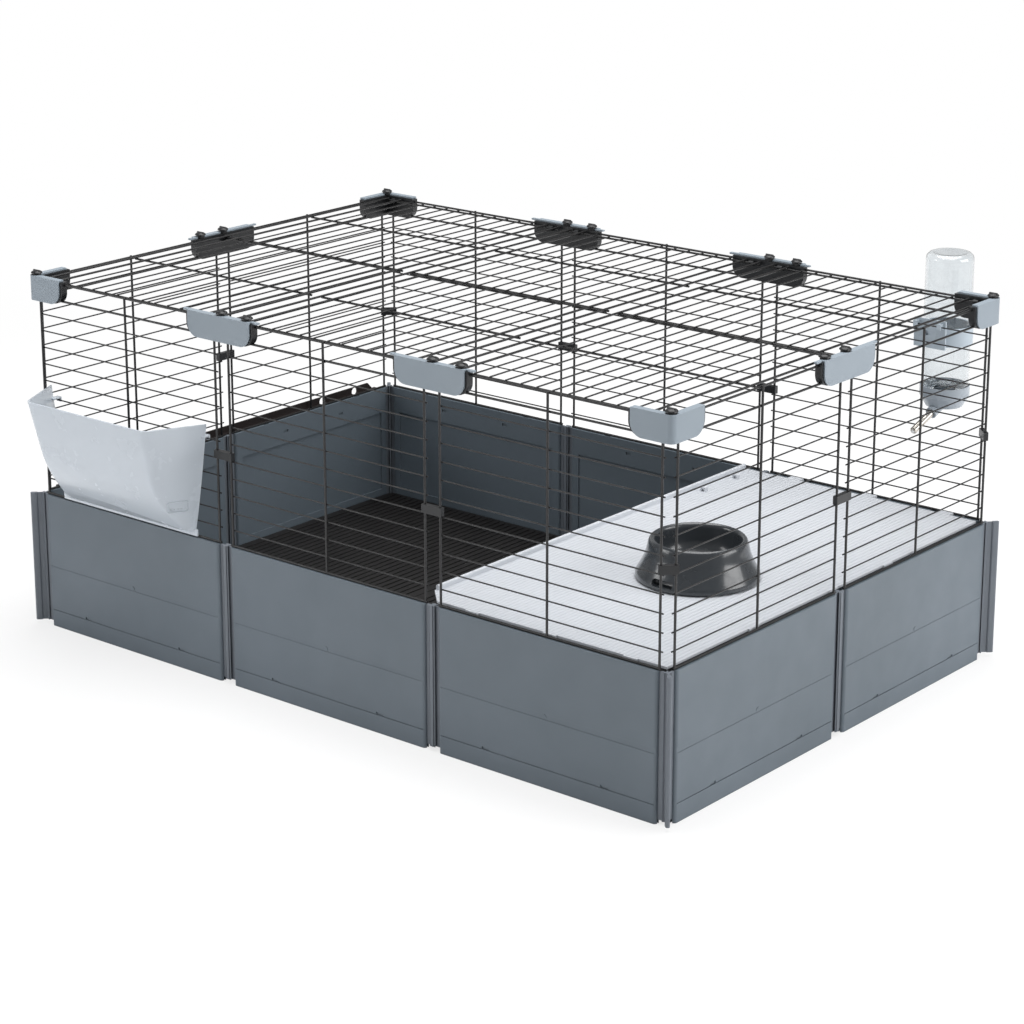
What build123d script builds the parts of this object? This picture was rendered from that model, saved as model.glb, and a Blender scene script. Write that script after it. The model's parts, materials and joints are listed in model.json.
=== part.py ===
from build123d import *
import math
import os

os.makedirs("parts", exist_ok=True)

# Rabbit cage: three modules long, two deep. Millimetres, +Z up, front is -Y.
# The origin is on the floor, below the middle of the cage.

# Module grid
module = 355.0
columns = 3
rows = 2

# Base panels
base_height = 190.0
panel_thickness = 10.0
panel_end_gap = 11.0
panel_end_radius = 4.6
inner_recess = 2.0
inner_band_low = 28.0
inner_band_drop = 38.0
inner_recess_margin = 14.0
ledge_top = 14.0
ledge_height = 6.0
ledge_depth = 6.0
ledge_length = 300.0
groove_height = 1.6
groove_depth = 0.7
groove_level = 24.5
ridge_level = 91.0
ridge_height = 7.0
ridge_depth = 0.5
outer_slot_offset = 91.0
outer_slot_size = (11.5, 3.0, 3.6)
inner_slot_offset = 60.0
inner_slot_size = (9.0, 3.0, 4.0)
inner_slot_drop = 19.0
rim_slot_offset = 100.0
rim_slot_size = (10.0, 3.0, 5.0)
rim_slot_inset = 2.6

# Connectors between the base panels
connector_bottom = 5.5
connector_rim_rise = 0.2
connector_rib_width = 4.8
arm_thickness = 2.0
arm_clearance = 0.3
arm_reach = 16.0
arm_top_drop = 0.2
fin_thickness = 1.8
star_reach = 6.0
bulb_width = 5.5
bulb_length = 10.0
bulb_end = 18.2

# Floor tiles
tile_thickness = 3.0
tile_gap = 1.4
tile_edge_clearance = 0.4
tile_corner = 7.0
tile_rib_pitch = 11.8
tile_rib_width = 1.6
tile_rib_height = 1.2
tile_foot_radius = 7.0
tile_foot_inset = 60.0

# Wire walls
wire_edge = 12.2
wire_overhang = 3.0
wire_pitch = 23.2
wire_rows = 13
wall_rise = 300.3
thick_wire_radius = 1.5
thin_wire_radius = 0.95
post_radius = 1.6
weld_depth = 0.4
channel_clearance = 0.3
rod_seat_gap = 0.1

# Roof panels
roof_lift = 0.9
roof_wire_count = 15
roof_wire_radius = 1.0
roof_end_setback = 11.0
roof_wire_tail = 1.5
roof_double_spread = 2.4

# Roof clips and their covers
clip_half = 59.0
clip_outer = 3.0
clip_inner = 6.5
clip_drop = 26.3
clip_rise = 4.2
clip_corner_radius = 16.0
knob_radius = 6.0
knob_inset = 2.5
knob_second = 45.0
knob_rise = 5.1
knob_stem_radius = 3.6
knob_corner_inset = 3.2
eye_offset = 24.0
eye_width = 7.0
eye_wall = 2.0
eye_clearance = 0.05
eye_mouth = 2.4
shelf_height = 3.2
shelf_gap = 0.3
cover_half = 55.0
cover_outer = 5.2
cover_thickness = 2.0
cover_drop = 1.0
cover_rise = 2.5
cover_lip_inner = 4.0
cover_corner_radius = 17.0
cover_edge_radius = 8.0
cover_gap = 0.2
cover_notch_clearance = 0.5
tongue_length = 11.0
tongue_outer = 1.0

# Clips half way up the wire walls
wire_clip_rise = 121.6
wire_clip_height = 11.0
wire_clip_half = 15.6
wire_clip_depth = 3.2

# Rail hung over the left rim
rail_panel_gap = 0.7
rail_thickness = 2.4
rail_drop = 14.0
rail_rise = 12.0
rail_end_gap = 28.0
rail_chamfer = 15.5
rail_wire_gap = 0.5
rail_flange_thickness = 2.0
rail_rim_gap = 0.5
rail_hole_radius = 6.2
rail_hole_rise = 5.0
rail_hole_insets = (118.3, 46.1)

# Resting platform
platform_overhang = 27.5
platform_side_gap = 1.0
platform_front_gap = 1.2
platform_back_gap = 10.0
platform_rim_gap = 0.5
platform_thickness = 3.0
platform_corner_cut = (28.0, 27.8)
lip_width = 5.0
lip_rise = 6.5
lip_drop = 10.5
platform_tab_overlap = 1.4
platform_side_overlap = 1.5
platform_tab_width = 20.0
platform_tab_rise = 0.2
platform_tab_offsets = (-120.0, 0.0, 120.0)
platform_side_places = (-177.5, 120.0)
platform_rib_pitch = 13.0
platform_rib_width = 1.4
platform_rib_height = 0.6
staple_inset = 21.0
staple_places = (217.0, 293.0)

# Bowl on the platform
bowl_x = 371.0
bowl_y = -74.0
bowl_foot_radius = 78.5
bowl_shoulder_radius = 69.0
bowl_mouth_radius = 53.0
bowl_height = 51.5
bowl_floor = 10.0
bowl_gap = 0.8
finger_slot = (31.0, 12.0, 9.0)
finger_slot_level = 9.5

# Hay feeder hung on the front wires
feeder_x = -356.0
feeder_wire_gap = 0.8
feeder_wall = 2.2
feeder_rim_rise = 20.1
feeder_knee_rise = 39.0
feeder_bottom_rise = 9.0
feeder_top_depth = 76.6
feeder_knee_depth = 44.6
feeder_bottom_depth = 9.6
feeder_top_half = (150.0, 112.0)
feeder_knee_half = (131.0, 103.0)
feeder_bottom_half = (125.0, 117.0)
feeder_corner_radius = 12.0
feeder_strip_half = 129.0
feeder_strip_gap = 2.0
feeder_strip_height = 9.5
feeder_strip_depth = 2.6
hook_wire_row = 7
hook_width = 8.0
hook_clearance = 0.35
hook_wall = 2.4
hook_drop = 3.4
hook_rise = 4.4

# Bottle, its cap, spout and bracket on the back wires
bottle_x = 435.0
bottle_standoff = 38.7
bottle_radius = 32.0
bottle_wall = 1.6
bottle_height = 190.0
bottle_below_collar = 67.0
bottle_edge_radius = 9.0
neck_radius = 17.0
neck_wall = 2.0
neck_length = 12.0
bottle_cap_wall = 1.25
bottle_cap_cover = 8.0
bottle_cap_height = 29.0
bottle_cap_taper = 8.6
bottle_cap_taper_height = 15.0
bottle_fit = 0.35
spout_tip_offset = (-4.0, -71.1, -22.5)
spout_root_offset = (-0.6, -8.1, 3.0)
spout_radius = 4.8
spout_bore = 3.4
spout_boss_radius = 8.0
spout_boss_length = 24.0
spout_lip = 1.2
spout_mouth = 2.5
spout_start = 4.4
ball_fit = 0.2
ball_seat_gap = 0.05
spout_fit = 0.05
drip_radius = 2.4
collar_fit = 0.7
collar_wall = 2.2
collar_height = 25.0
collar_lift = 1.0
plate_reach = (26.0, 22.0)
plate_drop = 31.9
plate_rise = 7.1
plate_thickness = 3.0
plate_gap = 0.8
plate_hole_radius = 3.6
plate_hook_row = 2
plate_hook_width = 6.0
neck_half = 12.0
plate_hole_place = (19.0, 20.0)

# Places that follow from the sizes above
half_x = module * columns / 2
half_y = module * rows / 2
half_thickness = panel_thickness / 2
wires_face = half_y + post_radius
connector_top = base_height + connector_rim_rise
inner_band_high = base_height - inner_band_drop
inner_slot_level = base_height - inner_slot_drop
wall_top = base_height + wall_rise
wall_levels = [wall_top - wire_pitch * index for index in range(wire_rows)]
roof_level = wall_top + roof_lift
clip_bottom = wall_top - clip_drop
clip_top = wall_top + clip_rise
knob_top = clip_top + knob_rise
cover_bottom = clip_bottom - cover_drop
cover_top = clip_top + cover_rise
wire_clip_level = base_height + wire_clip_rise
feeder_back = wires_face + feeder_wire_gap
plate_face = wires_face + plate_gap
bottle_y = plate_face + plate_thickness + bottle_standoff
panel_length = module - 2 * panel_end_gap
edge_from_middle = module / 2 - wire_edge
column_centres = [-module, 0.0, module]
row_centres = [-module / 2, module / 2]
node_columns = [-module / 2, module / 2]


def save(shape, name):
    export_step(shape, f"parts/{name}.step")


def joined(pieces):
    """Fuse a list of touching solids into one solid."""
    return pieces[0].fuse(*pieces[1:])


def block(x_range, y_range, z_range):
    """Box between two corners."""
    size = (x_range[1] - x_range[0], y_range[1] - y_range[0], z_range[1] - z_range[0])
    middle = (sum(x_range) / 2, sum(y_range) / 2, sum(z_range) / 2)
    return Pos(*middle) * Box(*size)


def rod_x(x_range, y, z, radius):
    """Round bar along X."""
    length = x_range[1] - x_range[0]
    return Pos(sum(x_range) / 2, y, z) * Rot(0, 90, 0) * Cylinder(radius, length)


def rod_y(y_range, x, z, radius):
    """Round bar along Y."""
    length = y_range[1] - y_range[0]
    return Pos(x, sum(y_range) / 2, z) * Rot(90, 0, 0) * Cylinder(radius, length)


def rod_z(z_range, x, y, radius):
    """Upright round bar."""
    length = z_range[1] - z_range[0]
    return Pos(x, y, sum(z_range) / 2) * Cylinder(radius, length)


def turned(points):
    """Solid of revolution about Z from (radius, height) points."""
    outline = make_face(Polyline(*[(r, 0, z) for r, z in points], close=True))
    return revolve(outline, Axis.Z)


# Each side of the cage is the same wall turned about Z and moved out to its node line.
def on_front(shape, x):
    return Pos(x, -half_y, 0) * shape


def on_back(shape, x):
    return Pos(x, half_y, 0) * Rot(0, 0, 180) * shape


def on_right(shape, y):
    return Pos(half_x, y, 0) * Rot(0, 0, 90) * shape


def on_left(shape, y):
    return Pos(-half_x, y, 0) * Rot(0, 0, -90) * shape


# Base panel, standing on the node line with its outer face towards -Y
bottom_rod_level = base_height + rod_seat_gap + thick_wire_radius
half_length = panel_length / 2
panel = extrude(RectangleRounded(panel_length, panel_thickness, panel_end_radius), base_height)
recess_half = half_length - inner_recess_margin
recess_face = half_thickness - inner_recess
recess_depth = (recess_face, half_thickness + 1)
panel -= block((-recess_half, recess_half), recess_depth, (inner_band_low, inner_band_high))
panel += block(
    (-ledge_length / 2, ledge_length / 2),
    (half_thickness - 1, half_thickness + ledge_depth),
    (ledge_top - ledge_height, ledge_top),
)
groove_low = groove_level - groove_height / 2
groove_face = -half_thickness + groove_depth
groove_reach = (-half_thickness - 1, groove_face)
panel -= block((-half_length, half_length), groove_reach, (groove_low, groove_low + groove_height))
ridge_low = ridge_level - ridge_height / 2
ridge_face = -half_thickness + ridge_depth
panel -= block(
    (-half_length, half_length),
    (-half_thickness - 1, ridge_face),
    (ridge_low, ridge_low + ridge_height),
)
boss = Rot(90, 0, 0) * Cylinder(ridge_height / 2 - 0.4, ridge_depth)
panel += Pos(0, ridge_face - ridge_depth / 2, ridge_level) * boss
slot_half = arm_thickness / 2 + arm_clearance
slot_start = module / 2 - arm_reach - 1.0
for side in (-1, 1):
    slot_ends = sorted((side * slot_start, side * (half_length + 1)))
    panel -= block(slot_ends, (-slot_half, slot_half), (-1, base_height + 1))
    panel -= Pos(side * outer_slot_offset, -half_thickness, groove_level + 1.4) * Box(*outer_slot_size)
    panel -= Pos(side * inner_slot_offset, half_thickness, inner_slot_level) * Box(*inner_slot_size)
    panel -= Pos(side * rim_slot_offset, rim_slot_inset, base_height) * Box(*rim_slot_size)
rod_channel = thick_wire_radius + channel_clearance
panel -= rod_x((-half_length - 1, half_length + 1), 0, bottom_rod_level, rod_channel)

column_names = ["left", "mid", "right"]
row_names = ["front", "back"]
for name, x in zip(column_names, column_centres):
    save(on_front(panel, x), f"base_front_{name}")
    save(on_back(panel, x), f"base_back_{name}")
for name, y in zip(row_names, row_centres):
    save(on_left(panel, y), f"base_left_{name}")
    save(on_right(panel, y), f"base_right_{name}")

# Connectors: a hub with arms caught in the panel ends
full_height = (connector_bottom, connector_top)
arm_height = (connector_bottom, base_height - arm_top_drop)


def connector_fin(angle, reach, height):
    """Thin upright fin from the hub out to a radius, at an angle in degrees."""
    return Rot(0, 0, angle) * block((0, reach), (-fin_thickness / 2, fin_thickness / 2), height)


def connector_arm(angle):
    return Rot(0, 0, angle) * block((0, arm_reach), (-arm_thickness / 2, arm_thickness / 2), arm_height)


rib_half = connector_rib_width / 2
mid_hub = block((-rib_half, rib_half), (-half_thickness, half_thickness), full_height)
mid_pieces = [mid_hub, connector_arm(0), connector_arm(180)]
for angle in (45, 135, 225, 315):
    mid_pieces.append(connector_fin(angle, star_reach, full_height))
mid_connector = joined(mid_pieces)

# Corner connector for the front right corner: arms towards -X and +Y, bulb outwards
corner_hub = block((-rib_half, rib_half), (-rib_half, rib_half), full_height)
corner_fin = connector_fin(135, star_reach, full_height)
corner_pieces = [corner_hub, connector_arm(180), connector_arm(90), corner_fin]
corner_pieces.append(connector_fin(45, star_reach - 1.5, full_height))
corner_pieces.append(connector_fin(225, star_reach - 1.5, full_height))
bulb_middle = bulb_end - bulb_length / 2
corner_pieces.append(connector_fin(315, bulb_middle, full_height))
bulb = extrude(SlotOverall(bulb_length, bulb_width), connector_top - connector_bottom)
corner_pieces.append(Rot(0, 0, 315) * Pos(bulb_middle, 0, connector_bottom) * bulb)
corner_connector = joined(corner_pieces)


def at_corners(shape):
    """Front right corner piece copied to all four corners."""
    return [
        Pos(half_x, -half_y, 0) * shape,
        Pos(half_x, half_y, 0) * Rot(0, 0, 90) * shape,
        Pos(-half_x, half_y, 0) * Rot(0, 0, 180) * shape,
        Pos(-half_x, -half_y, 0) * Rot(0, 0, 270) * shape,
    ]


def at_mid_nodes(front, right, back, left):
    """One piece at each of the six nodes between two walls in line."""
    placed = [on_front(front, x) for x in node_columns]
    placed += [on_back(back, x) for x in node_columns]
    placed.append(on_right(right, 0))
    placed.append(on_left(left, 0))
    return placed


save(Compound(at_corners(corner_connector)), "corner_connectors")
save(Compound(at_mid_nodes(mid_connector, mid_connector, mid_connector, mid_connector)), "mid_connectors")

# Floor tiles, lying on the panel ledges
tile_low = ledge_top + 0.2
tile_high = tile_low + tile_thickness
floor_edge_x = half_x - half_thickness - tile_edge_clearance
floor_edge_y = half_y - half_thickness - tile_edge_clearance
x_cuts = [-floor_edge_x, -module / 2, module / 2, floor_edge_x]
y_cuts = [-floor_edge_y, 0.0, floor_edge_y]


def floor_tile(x_range, y_range):
    centre = ((x_range[0] + x_range[1]) / 2, (y_range[0] + y_range[1]) / 2)
    width = x_range[1] - x_range[0]
    depth = y_range[1] - y_range[0]
    plate = extrude(chamfer(Rectangle(width, depth).vertices(), tile_corner), tile_thickness)
    pieces = [Pos(centre[0], centre[1], tile_low) * plate]
    rib_count = int((width - 2 * tile_corner) / tile_rib_pitch)
    rib_half_length = depth / 2 - tile_corner
    first = centre[0] - tile_rib_pitch * (rib_count - 1) / 2
    for index in range(rib_count):
        x = first + index * tile_rib_pitch
        pieces.append(
            block(
                (x - tile_rib_width / 2, x + tile_rib_width / 2),
                (centre[1] - rib_half_length, centre[1] + rib_half_length),
                (tile_high - 0.2, tile_high + tile_rib_height),
            )
        )
    for x in (centre[0] - width / 2 + tile_foot_inset, centre[0], centre[0] + width / 2 - tile_foot_inset):
        foot_spread = depth / 2 - tile_foot_inset
        for y in (centre[1] - foot_spread, centre[1], centre[1] + foot_spread):
            pieces.append(rod_z((0, tile_low + 0.5), x, y, tile_foot_radius))
    return joined(pieces)


for column, column_name in enumerate(column_names):
    for row, row_name in enumerate(row_names):
        x_low = x_cuts[column] + (tile_gap / 2 if column > 0 else 0)
        x_high = x_cuts[column + 1] - (tile_gap / 2 if column < 2 else 0)
        y_low = y_cuts[row] + (tile_gap / 2 if row > 0 else 0)
        y_high = y_cuts[row + 1] - (tile_gap / 2 if row < 1 else 0)
        save(floor_tile((x_low, x_high), (y_low, y_high)), f"floor_{row_name}_{column_name}")

# Wire wall, one module wide: posts on the node line, cross wires welded behind them
thick_offset = post_radius + thick_wire_radius - weld_depth
thin_offset = post_radius + thin_wire_radius - weld_depth
wire_half = edge_from_middle + wire_overhang
posts = [-edge_from_middle, 0.0, edge_from_middle]
wall_pieces = [rod_x((-wire_half, wire_half), 0, bottom_rod_level, thick_wire_radius)]
for x in posts:
    wall_pieces.append(rod_z((bottom_rod_level, wall_top + thick_wire_radius), x, 0, post_radius))
for index, level in enumerate(wall_levels):
    radius = thick_wire_radius if index < 2 else thin_wire_radius
    offset = thick_offset if index < 2 else thin_offset
    wall_pieces.append(rod_x((-wire_half, wire_half), offset, level, radius))
wall = joined(wall_pieces)

for name, x in zip(column_names, column_centres):
    save(on_front(wall, x), f"wires_front_{name}")
    save(on_back(wall, x), f"wires_back_{name}")
for name, y in zip(row_names, row_centres):
    save(on_left(wall, y), f"wires_left_{name}")
    save(on_right(wall, y), f"wires_right_{name}")

# Roof panel, one module wide and both modules deep, hinged on its back rod
roof_end = half_y - roof_end_setback
roof_rod_level = roof_level - 2 * thick_wire_radius + weld_depth
roof_pitch = 2 * edge_from_middle / (roof_wire_count - 1)
thin_level = roof_rod_level + thick_wire_radius + roof_wire_radius - weld_depth
roof_pieces = []
for index in range(roof_wire_count):
    x = -edge_from_middle + index * roof_pitch
    near_edge = index < 2 or index > roof_wire_count - 3
    radius = thick_wire_radius if near_edge else roof_wire_radius
    level = roof_level if near_edge else thin_level
    roof_pieces.append(rod_y((-roof_end - roof_wire_tail, roof_end + roof_wire_tail), x, level, radius))
cross_rods = [-roof_end, -module / 2, -roof_double_spread, roof_double_spread, module / 2, roof_end]
for y in cross_rods:
    roof_pieces.append(rod_x((-wire_half, wire_half), y, roof_rod_level, thick_wire_radius))
roof = joined(roof_pieces)
for name, x in zip(column_names, column_centres):
    save(Pos(x, 0, 0) * roof, f"roof_{name}")

# Roof clips: a block behind each cover, with channels for the wires and knobs on top
post_channel = post_radius + channel_clearance
wire_channel = thick_wire_radius + channel_clearance
eye_bore = thick_wire_radius + eye_clearance
eye_outer = eye_bore + eye_wall
shelf_top = roof_rod_level - thick_wire_radius - shelf_gap


def rounded_low_corner(half, radius, y_range, low):
    """Cutter that rounds the lower corner at +half of an upright plate."""
    square = block((half - radius, half + 1), y_range, (low - 1, low + radius))
    disc = Pos(half - radius, sum(y_range) / 2, low + radius)
    return square - disc * Rot(90, 0, 0) * Cylinder(radius, 2 * (y_range[1] - y_range[0]))


def knob(x, y):
    dome = Cylinder(knob_radius, knob_top - clip_top - 0.8)
    dome = fillet(dome.edges().sort_by(Axis.Z)[-1], 1.6)
    dome_middle = knob_top - (knob_top - clip_top - 0.8) / 2
    stem = rod_z((clip_top - 1, dome_middle), x, y, knob_stem_radius)
    return [Pos(x, y, dome_middle) * dome, stem]


def hinge_eye(x):
    """Open eye that the back rod of a roof panel turns in."""
    y = roof_end_setback
    ring = rod_x((x - eye_width / 2, x + eye_width / 2), y, roof_rod_level, eye_outer)
    web_x = (x - eye_width / 2, x + eye_width / 2)
    web = block(web_x, (clip_inner - 1, y), (roof_rod_level - eye_outer, roof_rod_level))
    return ring + web


def eye_cut(x):
    y = roof_end_setback
    width = (x - eye_width, x + eye_width)
    bore = rod_x(width, y, roof_rod_level, eye_bore)
    low = roof_rod_level - eye_mouth / 2
    return bore + block(width, (y, y + eye_outer + 1), (low, low + eye_mouth))


def shelf(x, half_width):
    """Short ledge that a roof rod lies on."""
    return block(
        (x - half_width, x + half_width),
        (clip_inner - 1, roof_end_setback + 2.5),
        (shelf_top - shelf_height, shelf_top),
    )


def mid_clip(knob_side, eyes, shelves, middle_shelf):
    body = block((-clip_half, clip_half), (-clip_outer, clip_inner), (clip_bottom, clip_top))
    corner = rounded_low_corner(clip_half, clip_corner_radius, (-clip_outer - 1, clip_inner + 1), clip_bottom)
    body -= corner
    body -= mirror(corner, about=Plane.YZ)
    body -= rod_x((-clip_half - 1, clip_half + 1), thick_offset, wall_levels[0], wire_channel)
    body -= rod_x((-clip_half - 1, clip_half + 1), thick_offset, wall_levels[1], wire_channel)
    for side in (-1, 1):
        body -= rod_z((clip_bottom - 1, wall_top + wire_channel), side * wire_edge, 0, post_channel)
    extras = knob(0, knob_inset) + knob(knob_side * knob_second, knob_inset)
    if eyes:
        extras += [hinge_eye(-eye_offset), hinge_eye(eye_offset)]
    if shelves:
        extras += [shelf(-eye_offset, eye_width / 2), shelf(eye_offset, eye_width / 2)]
    if middle_shelf:
        extras.append(shelf(0, 6.0))
    body = body.fuse(*extras)
    if eyes:
        body -= eye_cut(-eye_offset)
        body -= eye_cut(eye_offset)
    return body


def corner_outline(half, outer, inner, radius):
    """L-shaped outline round the front right corner, rounded on the outside."""
    outline = make_face(
        Polyline(
            (-half, -outer),
            (outer, -outer),
            (outer, half),
            (-inner, half),
            (-inner, inner),
            (-half, inner),
            close=True,
        )
    )
    tip = outline.vertices().sort_by(lambda v: v.X - v.Y)[-1]
    return fillet(tip, radius)


def across_corner(shape):
    """Mirror a leg of a corner piece across the corner's diagonal."""
    return mirror(shape, about=Plane(origin=(0, 0, 0), z_dir=(1, 1, 0)))


def corner_clip(eye_on_x, eye_on_y, shelf_on_x):
    """Front right corner: one leg towards -X, one towards +Y."""
    inner_radius = cover_edge_radius - cover_outer + clip_outer
    outline = corner_outline(clip_half, clip_outer, clip_inner, inner_radius)
    body = Pos(0, 0, clip_bottom) * extrude(outline, clip_top - clip_bottom)
    cut_through = (-clip_outer - 1, clip_inner + 1)
    rounding = rounded_low_corner(clip_half, clip_corner_radius, cut_through, clip_bottom)
    wire_end = -wire_edge + wire_overhang + 1
    cuts = [
        mirror(rounding, about=Plane.YZ),
        rod_x((-clip_half - 1, wire_end), thick_offset, wall_levels[0], wire_channel),
        rod_x((-clip_half - 1, wire_end), thick_offset, wall_levels[1], wire_channel),
        rod_z((clip_bottom - 1, wall_top + wire_channel), -wire_edge, 0, post_channel),
    ]
    for cut in cuts:
        body -= cut
        body -= across_corner(cut)
    extras = knob(-knob_corner_inset, knob_corner_inset)
    if eye_on_x:
        extras.append(hinge_eye(-eye_offset))
    if eye_on_y:
        extras.append(across_corner(hinge_eye(-eye_offset)))
    if shelf_on_x:
        extras.append(shelf(-eye_offset, eye_width / 2))
    body = body.fuse(*extras)
    if eye_on_x:
        body -= eye_cut(-eye_offset)
    if eye_on_y:
        body -= across_corner(eye_cut(-eye_offset))
    return body


front_clip = mid_clip(1, False, True, False)
back_clip = mid_clip(-1, True, False, False)
right_clip = mid_clip(-1, False, False, True)
left_clip = mid_clip(1, False, False, True)
save(Compound(at_mid_nodes(front_clip, right_clip, back_clip, left_clip)), "roof_clips_mid")

front_right_clip = corner_clip(False, False, True)
back_right_clip = Rot(0, 0, 90) * corner_clip(False, True, False)
back_left_clip = Rot(0, 0, 180) * corner_clip(True, False, False)
front_left_clip = mirror(front_right_clip, about=Plane.YZ)
corner_clips = [
    Pos(half_x, -half_y, 0) * front_right_clip,
    Pos(half_x, half_y, 0) * back_right_clip,
    Pos(-half_x, half_y, 0) * back_left_clip,
    Pos(-half_x, -half_y, 0) * front_left_clip,
]
save(Compound(corner_clips), "roof_clips_corner")

# Covers snapped over the roof clips
cover_inner_face = -cover_outer + cover_thickness
notch_radius = knob_radius + cover_notch_clearance
cover_lip_low = clip_top + cover_gap


def mid_cover(knob_side):
    plate = block((-cover_half, cover_half), (-cover_outer, cover_inner_face), (cover_bottom, cover_top))
    cut_through = (-cover_outer - 1, cover_inner_face + 1)
    corner = rounded_low_corner(cover_half, cover_corner_radius, cut_through, cover_bottom)
    plate -= corner
    plate -= mirror(corner, about=Plane.YZ)
    lip = block((-cover_half, cover_half), (-cover_outer, cover_lip_inner), (cover_lip_low, cover_top))
    tongue_ends = (-cover_half - tongue_length, cover_half + tongue_length)
    tongue = block(tongue_ends, (-tongue_outer, cover_lip_inner), (cover_lip_low, cover_top))
    cover = joined([plate, lip, tongue])
    top_edge = cover.edges().filter_by(Axis.X).sort_by(Axis.Z)[-2:].sort_by(Axis.Y)[0]
    cover = fillet(top_edge, 1.4)
    for x in (0, knob_side * knob_second):
        cover -= rod_z((cover_lip_low - 1, cover_top + 1), x, knob_inset, notch_radius)
    return cover


def corner_cover():
    plate = corner_outline(cover_half, cover_outer, cover_inner_face, cover_edge_radius)
    corner_x = cover_outer - cover_thickness
    inner_corner = plate.vertices().sort_by(lambda v: abs(v.X - corner_x) + abs(v.Y - cover_inner_face))[0]
    plate = fillet(inner_corner, cover_edge_radius - cover_thickness)
    cover = Pos(0, 0, cover_bottom) * extrude(plate, cover_top - cover_bottom)
    cut_through = (-cover_outer - 1, cover_inner_face + 1)
    rounding = rounded_low_corner(cover_half, cover_corner_radius, cut_through, cover_bottom)
    rounding = mirror(rounding, about=Plane.YZ)
    cover -= rounding
    cover -= across_corner(rounding)
    lip = corner_outline(cover_half, cover_outer, cover_lip_inner, cover_edge_radius)
    cover += Pos(0, 0, cover_lip_low) * extrude(lip, cover_top - cover_lip_low)
    cover -= rod_z((cover_lip_low - 1, cover_top + 1), -knob_corner_inset, knob_corner_inset, notch_radius)
    return cover


cover_right_hand = mid_cover(1)
cover_left_hand = mid_cover(-1)
for name, x in zip(["left", "right"], node_columns):
    save(on_front(cover_right_hand, x), f"cap_front_{name}")
    save(on_back(cover_left_hand, x), f"cap_back_{name}")
save(on_left(cover_right_hand, 0), "cap_left_mid")
save(on_right(cover_left_hand, 0), "cap_right_mid")
corner_names = ["front_right", "back_right", "back_left", "front_left"]
for name, shape in zip(corner_names, at_corners(corner_cover())):
    save(shape, f"cap_corner_{name}")

# Clips half way up, holding neighbouring wire walls together
clip_levels = (wire_clip_level - wire_clip_height / 2, wire_clip_level + wire_clip_height / 2)
straight_clip = block((-wire_clip_half, wire_clip_half), (-wire_clip_depth, wire_clip_depth), clip_levels)
for side in (-1, 1):
    straight_clip -= rod_z((clip_levels[0] - 1, clip_levels[1] + 1), side * wire_edge, 0, post_channel)
diagonal_half = wire_edge / math.sqrt(2) + wire_clip_half - wire_edge
angled_clip = block((-diagonal_half, diagonal_half), (-wire_clip_depth, wire_clip_depth), clip_levels)
for side in (-1, 1):
    x = side * wire_edge / math.sqrt(2)
    angled_clip -= rod_z((clip_levels[0] - 1, clip_levels[1] + 1), x, 0, post_channel)
angled_clip = Pos(-wire_edge / 2, wire_edge / 2, 0) * Rot(0, 0, 45) * angled_clip
wire_clips = at_mid_nodes(straight_clip, straight_clip, straight_clip, straight_clip)
wire_clips += at_corners(angled_clip)
save(Compound(wire_clips), "wire_clips")

# Rail over the left rim, with holes at both ends
rail_inner = half_x + half_thickness + rail_panel_gap
rail_outer = rail_inner + rail_thickness
rail_half = half_y - rail_end_gap
rail_flange_inner = half_x + post_radius + rail_wire_gap
flange_low = base_height + rail_rim_gap
flange_top = flange_low + rail_flange_thickness
rail_bottom = base_height - rail_drop
rail_top = base_height + rail_rise
rail = block((-rail_outer, -rail_inner), (-rail_half, rail_half), (rail_bottom, rail_top))
rail_corners = [e for e in rail.edges().filter_by(Axis.X) if e.center().Z > rail_top - 1]
rail = chamfer(rail_corners, rail_chamfer)
rail += block((-rail_inner - 1, -rail_flange_inner), (-rail_half, rail_half), (flange_low, flange_top))
rail_hole_level = base_height + rail_hole_rise
for inset_from_end in rail_hole_insets:
    for side in (-1, 1):
        y = side * (rail_half - inset_from_end)
        rail -= rod_x((-rail_outer - 1, -rail_flange_inner + 1), y, rail_hole_level, rail_hole_radius)
save(rail, "left_rail")

# Platform over the right-hand column, lying on the rims
platform_low = base_height + platform_rim_gap
platform_top = platform_low + platform_thickness
platform_left = module / 2 - platform_overhang
platform_right = half_x - half_thickness - platform_side_gap
platform_front = half_y - half_thickness - platform_front_gap
platform_back = half_y - half_thickness - platform_back_gap
platform_tab_reach = half_y - half_thickness + platform_tab_overlap
platform_tab_right = half_x - half_thickness + platform_side_overlap
platform_corner_x = platform_left + platform_corner_cut[0]
platform_corner_y = platform_front - platform_corner_cut[1]
lip_bottom = platform_low - lip_drop
lip_top = platform_top + lip_rise
platform_outline = make_face(
    Polyline(
        (platform_left, platform_back),
        (platform_left, -platform_corner_y),
        (platform_corner_x, -platform_front),
        (platform_right, -platform_front),
        (platform_right, platform_back),
        close=True,
    )
)
platform = Pos(0, 0, platform_low) * extrude(platform_outline, platform_thickness)
lip_end = platform_corner_y - lip_width / 2
lip_ends = (-lip_end, platform_back)
platform += block((platform_left, platform_left + lip_width), lip_ends, (lip_bottom, lip_top))
lip_tops = [e for e in platform.edges().filter_by(Axis.Y) if e.center().Z > lip_top - 0.1]
platform = fillet(lip_tops, 2.0)
tab_low = base_height + platform_tab_rise
tab_half = platform_tab_width / 2
for offset in platform_tab_offsets:
    tab_x = (module + offset - tab_half, module + offset + tab_half)
    platform += block(tab_x, (-platform_tab_reach, -platform_front + 4), (tab_low, platform_top))
    platform += block(tab_x, (platform_back - 4, platform_tab_reach), (tab_low, platform_top))
for y in platform_side_places:
    tab_y = (y - tab_half, y + tab_half)
    platform += block((platform_right - 4, platform_tab_right), tab_y, (tab_low, platform_top))
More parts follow.
